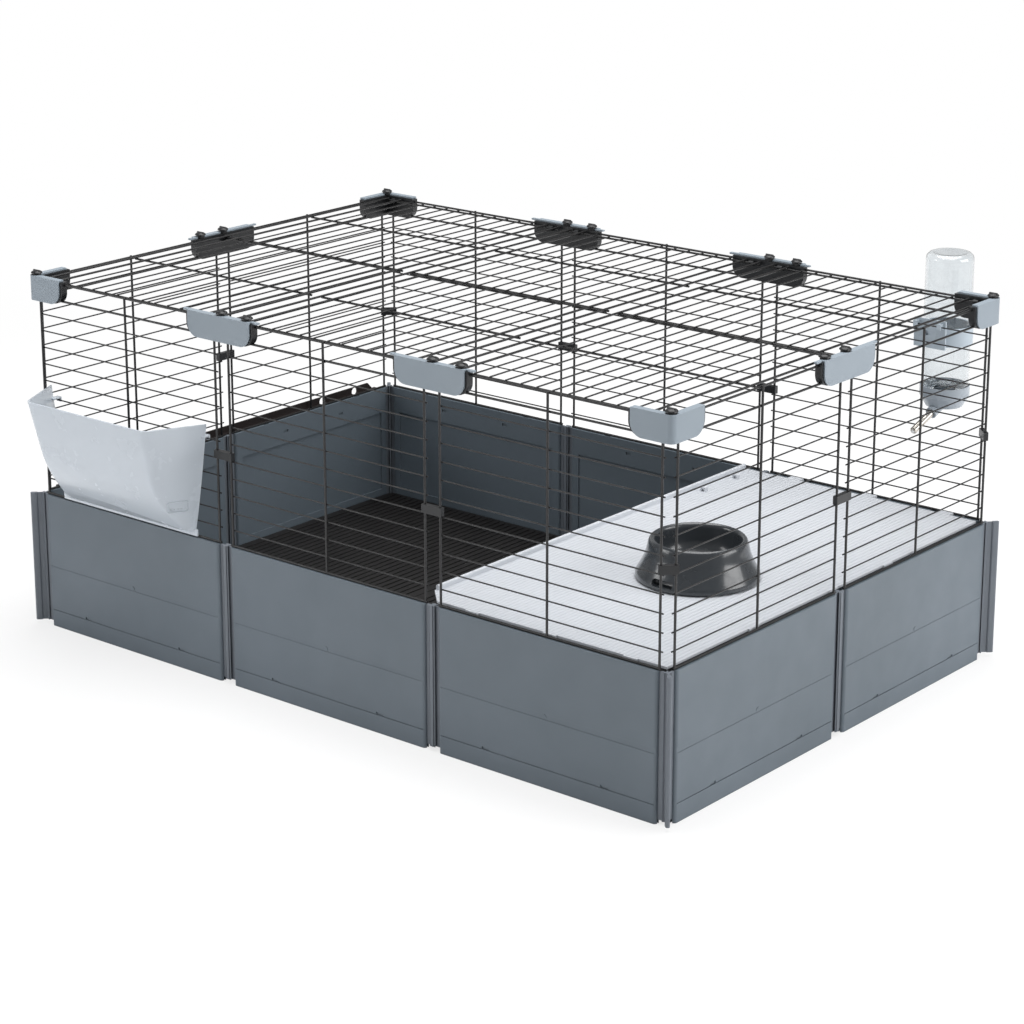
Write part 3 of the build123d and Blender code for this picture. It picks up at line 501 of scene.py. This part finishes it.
def evenNormals(piece, smoothAngle=35):
    makeActive(piece)
    startEdit()
    bpy.ops.mesh.remove_doubles(threshold=0.000005)
    bpy.ops.mesh.normals_make_consistent(inside=False)
    endEdit()
    bpy.ops.object.shade_smooth_by_angle(angle=math.radians(smoothAngle))


def dress(piece, body, slotName):
    piece.data.materials.clear()
    piece.data.materials.append(finishes[slotName])
    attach(piece, body)


def curvePoint(before, start, end, after, share):
    # Catmull-Rom value between start and end
    square = (2 * before - 5 * start + 4 * end - after) * share ** 2
    cube = (3 * start - before - 3 * end + after) * share ** 3
    return 0.5 * (2 * start + (end - before) * share + square + cube)


def softened(points, steps):
    # a smooth line through the profile's points, Catmull-Rom
    ends = [points[0]] + list(points) + [points[-1]]
    out = []
    for index in range(1, len(ends) - 2):
        corners = ends[index - 1:index + 3]
        for step in range(steps):
            out.append(tuple(curvePoint(*values, step / steps) for values in zip(*corners)))
    out.append(tuple(points[-1]))
    return out


def latheTurned(name, profile, centre, steps):
    # profile of (radius, height) turned about the upright line through centre
    points = [(centre[0] + radius, centre[1], centre[2] + level) for radius, level in profile]
    edges = [(index, index + 1) for index in range(len(points) - 1)]
    piece = startMesh(name, points, [], edges)
    makeActive(piece)
    startEdit()
    bpy.ops.mesh.spin(steps=steps, angle=2 * math.pi, center=centre, axis=(0, 0, 1), use_auto_merge=True)
    endEdit()
    return piece


# bowl: glossy, flared foot, finger slot in front
bowlShape = {
    "steps": 96,
    "lineSteps": 4,
    "footEdge": 0.003,
    "flare": ((0, 0.002), (0.0004, 0.007), (0.0035, 0.0125), (0.008, 0.021), (0.0125, 0.032)),  # in, up
    "rimInset": 0.0165,
    "rimOutside": ((0.001, 0.007), (-0.0008, 0.002), (-0.0032, 0)),  # out from the rim, down from the top
    "rimWidth": 0.0075,
    "rimInside": ((0.0035, 0), (0.001, 0.0015), (-0.0005, 0.006)),  # out from the mouth, down from the top
    "floorLevel": 0.01,
    "floorBend": ((0.003, 0.016), (0.012, 0.003), (0.022, 0)),  # in from the mouth, up from the floor
    "slotSize": (0.031, 0.012, 0.009),
    "slotLevel": 0.0095,
    "slotReach": 0.004,
    "slotRadius": 0.0035,
}


def makeBowl():
    low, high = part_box("bowl")
    foot = (high.x - low.x) / 2
    height = high.z - low.z
    centre = ((low.x + high.x) / 2, low.y + foot, low.z)
    rim = foot - bowlShape["rimInset"]
    outside = [(foot - bowlShape["footEdge"], 0)]
    outside += [(foot - inset, level) for inset, level in bowlShape["flare"]]
    outside += [(rim + out, height - drop) for out, drop in bowlShape["rimOutside"]]
    mouth = rim - bowlShape["rimWidth"]
    floorLevel = bowlShape["floorLevel"]
    inside = [(mouth + out, height - drop) for out, drop in bowlShape["rimInside"]]
    inside += [(mouth - inset, floorLevel + rise) for inset, rise in bowlShape["floorBend"]]
    steps = bowlShape["lineSteps"]
    profile = [(0, 0)] + softened(outside, steps) + softened(inside, steps) + [(0, floorLevel)]
    bowl = latheTurned("bowlShell", profile, centre, bowlShape["steps"])
    wide, deep, tall = bowlShape["slotSize"]
    slotMiddle = low.z + bowlShape["slotLevel"]
    slotFront = centre[1] - foot
    cutter = startBox(
        "fingerSlotCutter",
        (centre[0] - wide / 2, slotFront - bowlShape["slotReach"], slotMiddle - tall / 2),
        (centre[0] + wide / 2, slotFront + deep, slotMiddle + tall / 2),
    )
    applyBevel(cutter, bowlShape["slotRadius"], 4)
    evenNormals(bowl)
    cutAway(bowl, cutter)
    evenNormals(bowl, 40)
    dress(bowl, "bowl", "bowl_plastic")
    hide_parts("bowl")


# hay feeder: open at the back, thin walls, rounded knee and rim, hooks, flange strip
hopperShape = {
    "wall": 0.0022,
    "wireGap": 0.0008,
    "bottomRise": 0.007,
    "kneeRise": 0.058,
    "topHalves": (0.150, 0.112),
    "kneeHalves": (0.135, 0.107),
    "bottomHalves": (0.125, 0.117),
    "kneeDepth": 0.0536,
    "kneeShares": (0.6, 0.3),
    "kneeSteps": 6,
    "bottomDepth": 0.0096,
    "cornerRadius": 0.008,
    "rimRadius": 0.0009,
    "stripHalf": 0.129,
    "stripHeight": 0.0095,
    "stripDepth": 0.0026,
    "stripRadius": 0.0008,
    "hookTurn": 0.02,
    "hookLift": 0.0013,
    "hookInset": 0.0035,
    "hookReach": 0.0086,
    "hookRoot": 0.005,
    "hookWidth": 0.008,
    "hookPlate": 0.0025,
    "hookLip": (0.0022, 0.0045),
    "hookOverlap": 0.001,
    "hookRadius": 0.0005,
    "frameSize": (0.030, 0.016),
    "frameLine": 0.0012,
    "frameHeight": 0.0014,
    "frameSink": 0.0006,
    "frameDrop": 0.014,
    "frameRadius": 0.004,
    "dotCount": 5,
    "dotRadius": 0.0011,
    "dotHeight": 0.7,
    "dotShares": (0.17, 0.2),
    "sameLine": 0.0005,
}


def makeHopper():
    low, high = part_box("hay_feeder")
    middle = (low.x + high.x) / 2
    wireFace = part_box("wires_front_left")[0].y
    back = wireFace - hopperShape["wireGap"]
    levels = [
        (low.z + hopperShape["bottomRise"], hopperShape["bottomHalves"], back - hopperShape["bottomDepth"]),
        (low.z + hopperShape["kneeRise"], hopperShape["kneeHalves"], back - hopperShape["kneeDepth"]),
        (high.z, hopperShape["topHalves"], low.y),
    ]
    points = []
    rings = roundedKnee(levels)
    for level, (backHalf, frontHalf), front in rings:
        points += [
            (middle - backHalf, back, level),
            (middle - frontHalf, front, level),
            (middle + frontHalf, front, level),
            (middle + backHalf, back, level),
        ]
    faces = [(0, 1, 2, 3)]
    for ring in range(0, 4 * (len(rings) - 1), 4):
        for side in range(3):
            faces.append((ring + side, ring + 4 + side, ring + 5 + side, ring + 1 + side))
    hopper = startMesh("hayHopper", points, faces)
    roundFrontEdges(hopper, back)
    makeActive(hopper)
    startEdit()
    bpy.ops.mesh.normals_make_consistent(inside=False)
    endEdit()
    turnOutward(hopper, (middle, back, low.z))
    applySolid(hopper, hopperShape["wall"])
    applyBevel(hopper, hopperShape["rimRadius"], 2, 50)
    strip = startBox(
        "hopperStrip",
        (middle - hopperShape["stripHalf"], back - hopperShape["stripDepth"], low.z),
        (middle + hopperShape["stripHalf"], back, low.z + hopperShape["stripHeight"]),
    )
    applyBevel(strip, hopperShape["stripRadius"], 2)
    hooks = makeHooks(middle, back, high.z)
    emblem = makeSideFrame(levels, middle, back)
    joinInto(hopper, [strip] + hooks + emblem)
    evenNormals(hopper, 40)
    dress(hopper, "feeder", "feeder_plastic")
    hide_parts("hay_feeder")


def between(first, second, share):
    # the level part of the way from one level to another
    keep = 1 - share
    halves = tuple(keep * a + share * b for a, b in zip(first[1], second[1]))
    return (keep * first[0] + share * second[0], halves, keep * first[2] + share * second[2])


def roundedKnee(levels):
    # the bottom, a round bend in place of the knee, and the top
    bottom, knee, top = levels
    start = between(knee, bottom, hopperShape["kneeShares"][0])
    end = between(knee, top, hopperShape["kneeShares"][1])
    rings = [bottom]
    for step in range(hopperShape["kneeSteps"] + 1):
        share = step / hopperShape["kneeSteps"]
        rings.append(between(between(start, knee, share), between(knee, end, share), share))
    return rings + [top]


def turnOutward(piece, inner):
    # an open sheet whose faces point at the inside is turned over
    sample = max(piece.data.polygons, key=lambda face: face.area)
    if (sample.center - Vector(inner)).dot(sample.normal) < 0:
        makeActive(piece)
        startEdit()
        bpy.ops.mesh.flip_normals()
        endEdit()


def roundFrontEdges(piece, back):
    # rounds the upright front corners and leaves the open back's edges
    makeActive(piece)
    startEdit("DESELECT")
    shape = bmesh.from_edit_mesh(piece.data)
    for edge in shape.edges:
        inFront = all(corner.co.y < back - hopperShape["sameLine"] for corner in edge.verts)
        upright = abs(edge.verts[0].co.z - edge.verts[1].co.z) > hopperShape["sameLine"]
        edge.select_set(inFront and upright and len(edge.link_faces) == 2)
    bmesh.update_edit_mesh(piece.data)
    bpy.ops.mesh.bevel(offset=hopperShape["cornerRadius"], segments=6, clamp_overlap=True)
    endEdit()


def makeHooks(middle, back, top):
    # two hooks over a cross wire below the rim
    wireHigh = top - hopperShape["hookTurn"] + hopperShape["hookLift"]
    halves = hopperShape["topHalves"][0] - hopperShape["hookInset"]
    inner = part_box("wires_front_left")[0].y + hopperShape["hookReach"]
    lipDepth, lipDrop = hopperShape["hookLip"]
    hooks = []
    for side in (-1, 1):
        ends = sorted((middle + side * halves, middle + side * (halves - hopperShape["hookWidth"])))
        plate = startBox(
            "hookPlate",
            (ends[0], back - hopperShape["hookRoot"], wireHigh),
            (ends[1], inner, wireHigh + hopperShape["hookPlate"]),
        )
        drop = startBox(
            "hookDrop",
            (ends[0], inner - lipDepth, wireHigh - lipDrop),
            (ends[1], inner, wireHigh + hopperShape["hookOverlap"]),
        )
        for part in (plate, drop):
            applyBevel(part, hopperShape["hookRadius"], 2)
        hooks += [plate, drop]
    return hooks


def makeSideFrame(levels, middle, back):
    # the rounded frame moulded on the right side wall below the knee, with a row of small dots
    kneeLevel, kneeHalves, kneeFront = levels[1]
    lowLevel, lowHalves = levels[0][:2]
    kneeBack = Vector((middle + kneeHalves[0], back, kneeLevel))
    kneeCorner = Vector((middle + kneeHalves[1], kneeFront, kneeLevel))
    lowBack = Vector((middle + lowHalves[0], back, lowLevel))
    along = (kneeCorner - kneeBack).normalized()
    outward = along.cross(kneeBack - lowBack).normalized()
    if outward.x < 0:
        outward = -outward
    upward = outward.cross(along).normalized()
    if upward.z < 0:
        upward = -upward
    wide, tall = hopperShape["frameSize"]
    centre = (kneeBack + kneeCorner) / 2 - upward * hopperShape["frameDrop"]
    centre -= outward * hopperShape["frameSink"]
    deselectAll()
    bpy.ops.mesh.primitive_plane_add(size=1)
    rim = bpy.context.object
    rim.name = "sideFrame"
    startEdit()
    bpy.ops.transform.resize(value=(wide, tall, 1))
    bpy.ops.mesh.bevel(offset=hopperShape["frameRadius"], segments=5, affect="VERTICES")
    bpy.ops.mesh.inset(thickness=hopperShape["frameLine"])
    bpy.ops.mesh.delete(type="FACE")
    bpy.ops.mesh.select_all(action="SELECT")
    bpy.ops.mesh.extrude_region_move(TRANSFORM_OT_translate={"value": (0, 0, hopperShape["frameHeight"])})
    endEdit()
    parts = [rim]
    across, below = hopperShape["dotShares"]
    count = hopperShape["dotCount"]
    for step in range(count):
        deselectAll()
        bpy.ops.mesh.primitive_uv_sphere_add(segments=12, ring_count=8, radius=hopperShape["dotRadius"])
        dot = bpy.context.object
        startEdit()
        bpy.ops.transform.resize(value=(1, 1, hopperShape["dotHeight"]))
        bpy.ops.transform.translate(value=((step - (count - 1) / 2) * wide * across, -tall * below, 0))
        endEdit()
        parts.append(dot)
    turn = Matrix((along, upward, outward)).transposed().to_4x4()
    for part in parts:
        part.data.transform(Matrix.Translation(centre) @ turn)
    return parts


# domed heads on the roof clips' turning knobs
knobShape = {
    "radius": 0.0078,
    "rise": 0.0036,
    "gripWidth": 0.0026,
    "gripHeight": 0.0005,
    "gripShare": 0.8,
    "gripRadius": 0.0009,
    "sink": 0.0002,
    "flatTop": 0.0003,
    "spacing": 0.015,
    "nodes": ("roof_clips_mid", "roof_clips_corner"),
}


def knobPlaces(node):
    # the middle of each knob's flat top
    corners = [vertex.co for vertex in frame["nodes"][node].data.vertices]
    top = max(corner.z for corner in corners)
    groups = []
    for corner in corners:
        if corner.z < top - knobShape["flatTop"]:
            continue
        near = [group for group in groups if (group[0] - corner).length < knobShape["spacing"]]
        if near:
            near[0].append(corner)
        else:
            groups.append([corner])
    return [sum(group, Vector()) / len(group) for group in groups]


def makeKnobs():
    domes = []
    gripHalf = knobShape["radius"] * knobShape["gripShare"]
    gripTop = knobShape["rise"] + knobShape["gripHeight"]
    for node in knobShape["nodes"]:
        for place in knobPlaces(node):
            deselectAll()
            bpy.ops.mesh.primitive_uv_sphere_add(segments=28, ring_count=16, radius=knobShape["radius"])
            dome = bpy.context.object
            startEdit()
            bpy.ops.mesh.bisect(plane_co=(0, 0, 0), plane_no=(0, 0, -1), clear_outer=True, use_fill=True)
            bpy.ops.mesh.select_all(action="SELECT")
            squash = knobShape["rise"] / knobShape["radius"]
            bpy.ops.transform.resize(value=(1, 1, squash), center_override=(0, 0, 0))
            bpy.ops.transform.translate(value=(place.x, place.y, place.z - knobShape["sink"]))
            endEdit()
            grip = startBox(
                "knobGrip",
                (place.x - gripHalf, place.y - knobShape["gripWidth"] / 2, place.z),
                (place.x + gripHalf, place.y + knobShape["gripWidth"] / 2, place.z + gripTop),
            )
            applyBevel(grip, knobShape["gripRadius"], 3)
            domes += [dome, grip]
    heads = joinInto(domes[0], domes[1:])
    heads.name = "knobHeads"
    evenNormals(heads, 40)
    dress(heads, "cage", "clip_plastic")


addCamera()
addStudio()
print("camera, floor and lights placed")
dressNodes()
print("finishes assigned")
makeBowl()
print("bowl made")
makeHopper()
print("hay feeder made")
makeKnobs()
print("knob heads made")

bpy.context.scene.view_settings.view_transform = "Standard"
